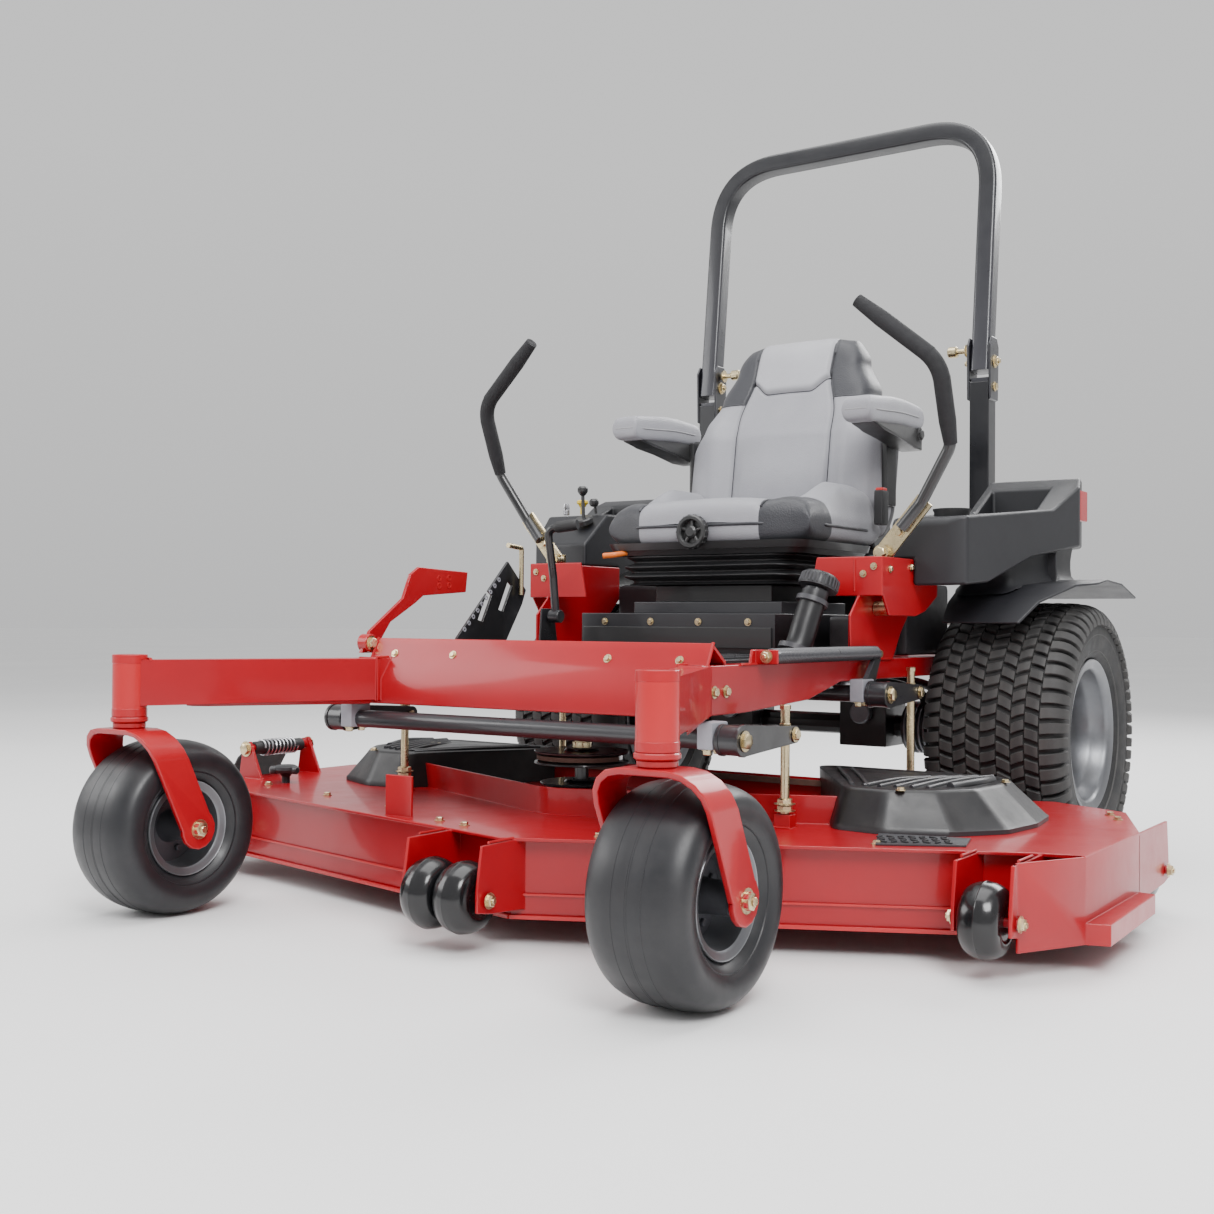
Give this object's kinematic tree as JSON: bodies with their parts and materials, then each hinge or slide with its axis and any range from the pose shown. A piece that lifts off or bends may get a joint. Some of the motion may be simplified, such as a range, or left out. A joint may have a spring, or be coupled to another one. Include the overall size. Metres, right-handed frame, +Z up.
{
  "type": "zero turn mower",
  "caption": "Ride-on zero turn mower with front casters, wide side-discharge deck, twin motion levers, suspension seat, rear engine and folding roll bar.",
  "frame": {"origin": "on the ground under the centre of the machine's overall box", "axes": "+X to the operator's left, -Y forward, +Y to the rear, +Z up"},
  "size_m": [2.02, 2.178, 1.8275],
  "materials": {
    "red_paint": "gloss",
    "black_paint": "satin",
    "dark_plastic": "textured",
    "rubber": "matte",
    "tyre": "matte",
    "steel": "satin",
    "zinc": "plated",
    "vinyl": "matte"
  },
  "bodies": {
    "chassis": {"main_frame": "red_paint", "hydro_drive": "black_paint", "lift_spring": "black_paint", "height_plate": "black_paint", "seat_platform": "black_paint", "console_left": "dark_plastic", "console_right": "dark_plastic", "fender_left": "dark_plastic", "fender_right": "dark_plastic", "seat_suspension": "black_paint", "seat_boot": "rubber", "roll_bar_base": "black_paint", "engine": "black_paint", "muffler": "steel", "rear_guard": "black_paint"},
    "caster_left": {"caster_fork_left": "red_paint"},
    "caster_right": {"caster_fork_right": "red_paint"},
    "caster_wheel_left": {"caster_tyre_left": "tyre", "caster_rim_left": "steel"},
    "caster_wheel_right": {"caster_tyre_right": "tyre", "caster_rim_right": "steel"},
    "drive_wheel_left": {"drive_tyre_left": "tyre", "drive_rim_left": "steel"},
    "drive_wheel_right": {"drive_tyre_right": "tyre", "drive_rim_right": "steel"},
    "deck": {"deck_shell": "red_paint", "deck_belt": "rubber", "belt_cover_left": "dark_plastic", "belt_cover_right": "dark_plastic"},
    "chute": {"discharge_chute": "rubber"},
    "blade_left": {"blade_spindle_left": "black_paint"},
    "blade_centre": {"blade_spindle_centre": "black_paint"},
    "blade_right": {"blade_spindle_right": "black_paint"},
    "roller_nl": {"roller_nose_left": "rubber"},
    "roller_nr": {"roller_nose_right": "rubber"},
    "roller_fl": {"roller_front_left": "rubber"},
    "roller_fr": {"roller_front_right": "rubber"},
    "roller_rl": {"roller_rear_left": "rubber"},
    "roller_rr": {"roller_rear_right": "rubber"},
    "lift_front": {"lift_shaft_front": "black_paint"},
    "lift_rear": {"lift_shaft_rear": "black_paint"},
    "pedal": {"lift_pedal": "red_paint"},
    "height_pin": {"height_pin": "zinc"},
    "brake": {"brake_lever": "black_paint"},
    "fuel_cap": {"fuel_cap": "dark_plastic"},
    "throttle": {"throttle_lever": "black_paint"},
    "pto": {"pto_knob": "zinc"},
    "key": {"ignition_key": "steel"},
    "control_left": {"control_arm_left": "zinc"},
    "control_right": {"control_arm_right": "zinc"},
    "lever_left": {"motion_lever_left": "black_paint"},
    "lever_right": {"motion_lever_right": "black_paint"},
    "seat": {"seat_cushion": "vinyl"},
    "backrest": {"seat_back": "vinyl"},
    "arm_left": {"armrest_left": "vinyl"},
    "arm_right": {"armrest_right": "vinyl"},
    "hoop": {"roll_hoop": "black_paint"},
    "pin_left": {"lock_pin_left": "zinc"},
    "pin_right": {"lock_pin_right": "zinc"},
    "clutch": {"clutch_pulley": "steel"}
  },
  "joints": [
    {"name": "caster_swivel_left", "type": "hinge", "parent": "chassis", "child": "caster_left", "pos_m": [0.5675, -1.011, 0.4], "axis": [0, 0, 1], "continuous": true},
    {"name": "caster_swivel_right", "type": "hinge", "parent": "chassis", "child": "caster_right", "pos_m": [-0.5675, -1.011, 0.4], "axis": [0, 0, 1], "continuous": true},
    {"name": "caster_spin_left", "type": "hinge", "parent": "caster_left", "child": "caster_wheel_left", "pos_m": [0.5675, -0.929, 0.16], "axis": [1, 0, 0], "continuous": true},
    {"name": "caster_spin_right", "type": "hinge", "parent": "caster_right", "child": "caster_wheel_right", "pos_m": [-0.5675, -0.929, 0.16], "axis": [1, 0, 0], "continuous": true},
    {"name": "drive_spin_left", "type": "hinge", "parent": "chassis", "child": "drive_wheel_left", "pos_m": [0.567, 0.59, 0.297], "axis": [1, 0, 0], "continuous": true},
    {"name": "drive_spin_right", "type": "hinge", "parent": "chassis", "child": "drive_wheel_right", "pos_m": [-0.567, 0.59, 0.297], "axis": [1, 0, 0], "continuous": true},
    {"name": "deck_lift", "type": "slide", "parent": "chassis", "child": "deck", "axis": [0, 0, 1], "range_m": [0, 0.085]},
    {"name": "lift_front_turn", "type": "hinge", "parent": "chassis", "child": "lift_front", "pos_m": [0, -0.592, 0.348], "axis": [1, 0, 0], "range_deg": [0, 28]},
    {"name": "lift_rear_turn", "type": "hinge", "parent": "chassis", "child": "lift_rear", "pos_m": [0, 0.005, 0.402], "axis": [1, 0, 0], "range_deg": [0, 33]},
    {"name": "pedal_turn", "type": "hinge", "parent": "chassis", "child": "pedal", "pos_m": [-0.406, -0.566, 0.498], "axis": [1, 0, 0], "range_deg": [0, 33]},
    {"name": "blade_centre_spin", "type": "hinge", "parent": "deck", "child": "blade_centre", "pos_m": [0.02, -0.418, 0.2], "axis": [0, 0, 1], "continuous": true},
    {"name": "blade_left_spin", "type": "hinge", "parent": "deck", "child": "blade_left", "pos_m": [0.624, -0.155, 0.2], "axis": [0, 0, 1], "continuous": true},
    {"name": "blade_right_spin", "type": "hinge", "parent": "deck", "child": "blade_right", "pos_m": [-0.584, -0.155, 0.2], "axis": [0, 0, 1], "continuous": true},
    {"name": "clutch_spin", "type": "hinge", "parent": "chassis", "child": "clutch", "pos_m": [0, 0.73, 0.42], "axis": [0, 0, 1], "continuous": true},
    {"name": "roller_nl_spin", "type": "hinge", "parent": "deck", "child": "roller_nl", "pos_m": [0.103, -0.862, 0.091], "axis": [1, 0, 0], "continuous": true},
    {"name": "roller_nr_spin", "type": "hinge", "parent": "deck", "child": "roller_nr", "pos_m": [0.032, -0.862, 0.091], "axis": [1, 0, 0], "continuous": true},
    {"name": "roller_fl_spin", "type": "hinge", "parent": "deck", "child": "roller_fl", "pos_m": [0.86, -0.53, 0.091], "axis": [1, 0, 0], "continuous": true},
    {"name": "roller_fr_spin", "type": "hinge", "parent": "deck", "child": "roller_fr", "pos_m": [-0.86, -0.65, 0.091], "axis": [1, 0, 0], "continuous": true},
    {"name": "roller_rl_spin", "type": "hinge", "parent": "deck", "child": "roller_rl", "pos_m": [0.925, 0.112, 0.091], "axis": [1, 0, 0], "continuous": true},
    {"name": "roller_rr_spin", "type": "hinge", "parent": "deck", "child": "roller_rr", "pos_m": [-0.85, 0.15, 0.091], "axis": [1, 0, 0], "continuous": true},
    {"name": "chute_flip", "type": "hinge", "parent": "deck", "child": "chute", "pos_m": [-0.9, -0.347, 0.249], "axis": [0, 1, 0], "range_deg": [0, 110]},
    {"name": "height_pin_pull", "type": "slide", "parent": "chassis", "child": "height_pin", "axis": [0, 0, 1], "range_m": [0, 0.03]},
    {"name": "brake_swing", "type": "hinge", "parent": "chassis", "child": "brake", "pos_m": [-0.25, -0.14, 0.555], "axis": [1, 0, 0], "range_deg": [0, 30]},
    {"name": "fuel_cap_turn", "type": "hinge", "parent": "chassis", "child": "fuel_cap", "pos_m": [0.3325, -0.039, 0.614], "axis": [0.1587, 0.3438, 0.9255], "continuous": true},
    {"name": "throttle_swing", "type": "hinge", "parent": "chassis", "child": "throttle", "pos_m": [-0.44, 0.285, 0.815], "axis": [1, 0, 0], "range_deg": [-20, 20]},
    {"name": "pto_pull", "type": "slide", "parent": "chassis", "child": "pto", "axis": [0, 0, 1], "range_m": [0, 0.015]},
    {"name": "key_turn", "type": "hinge", "parent": "chassis", "child": "key", "pos_m": [-0.54, 0.296, 0.82], "axis": [0, 0, -1], "range_deg": [0, 90]},
    {"name": "control_left_swing", "type": "hinge", "parent": "chassis", "child": "control_left", "pos_m": [0.42, 0.1, 0.575], "axis": [1, 0, 0], "range_deg": [-12, 12], "stiffness_Nm_per_rad": 60},
    {"name": "control_right_swing", "type": "hinge", "parent": "chassis", "child": "control_right", "pos_m": [-0.42, 0.1, 0.575], "axis": [1, 0, 0], "range_deg": [-12, 12], "stiffness_Nm_per_rad": 60},
    {"name": "lever_left_close", "type": "hinge", "parent": "control_left", "child": "lever_left", "pos_m": [0.42, 0.1, 0.69], "axis": [0, -1, 0], "range_deg": [0, 38]},
    {"name": "lever_right_close", "type": "hinge", "parent": "control_right", "child": "lever_right", "pos_m": [-0.42, 0.1, 0.69], "axis": [0, 1, 0], "range_deg": [0, 38]},
    {"name": "seat_ride", "type": "slide", "parent": "chassis", "child": "seat", "axis": [0, 0, 1], "range_m": [-0.05, 0], "stiffness_N_per_m": 8000, "springref_m": 0.08, "deforming": ["seat_boot"]},
    {"name": "backrest_recline", "type": "hinge", "parent": "seat", "child": "backrest", "pos_m": [0, 0.455, 0.745], "axis": [-1, 0, 0], "range_deg": [0, 12]},
    {"name": "arm_left_flip", "type": "hinge", "parent": "backrest", "child": "arm_left", "pos_m": [0.303, 0.49, 0.985], "axis": [-1, 0, 0], "range_deg": [0, 90]},
    {"name": "arm_right_flip", "type": "hinge", "parent": "backrest", "child": "arm_right", "pos_m": [-0.303, 0.49, 0.985], "axis": [-1, 0, 0], "range_deg": [0, 90]},
    {"name": "roll_fold", "type": "hinge", "parent": "chassis", "child": "hoop", "pos_m": [0, 0.763, 1.19], "axis": [-1, 0, 0], "range_deg": [0, 105]},
    {"name": "pin_left_pull", "type": "slide", "parent": "chassis", "child": "pin_left", "axis": [-1, 0, 0], "range_m": [0, 0.022], "stiffness_N_per_m": 300, "springref_m": -0.02},
    {"name": "pin_right_pull", "type": "slide", "parent": "chassis", "child": "pin_right", "axis": [1, 0, 0], "range_m": [0, 0.022], "stiffness_N_per_m": 300, "springref_m": -0.02}
  ],
  "couplings": [
    {"joint": "lift_front_turn", "follows": "deck_lift", "rad_per_m": 5.4},
    {"joint": "lift_rear_turn", "follows": "deck_lift", "rad_per_m": 6.5},
    {"joint": "pedal_turn", "follows": "deck_lift", "rad_per_m": 6.5},
    {"joint": "blade_left_spin", "follows": "blade_centre_spin", "ratio": 1},
    {"joint": "blade_right_spin", "follows": "blade_centre_spin", "ratio": 1}
  ]
}
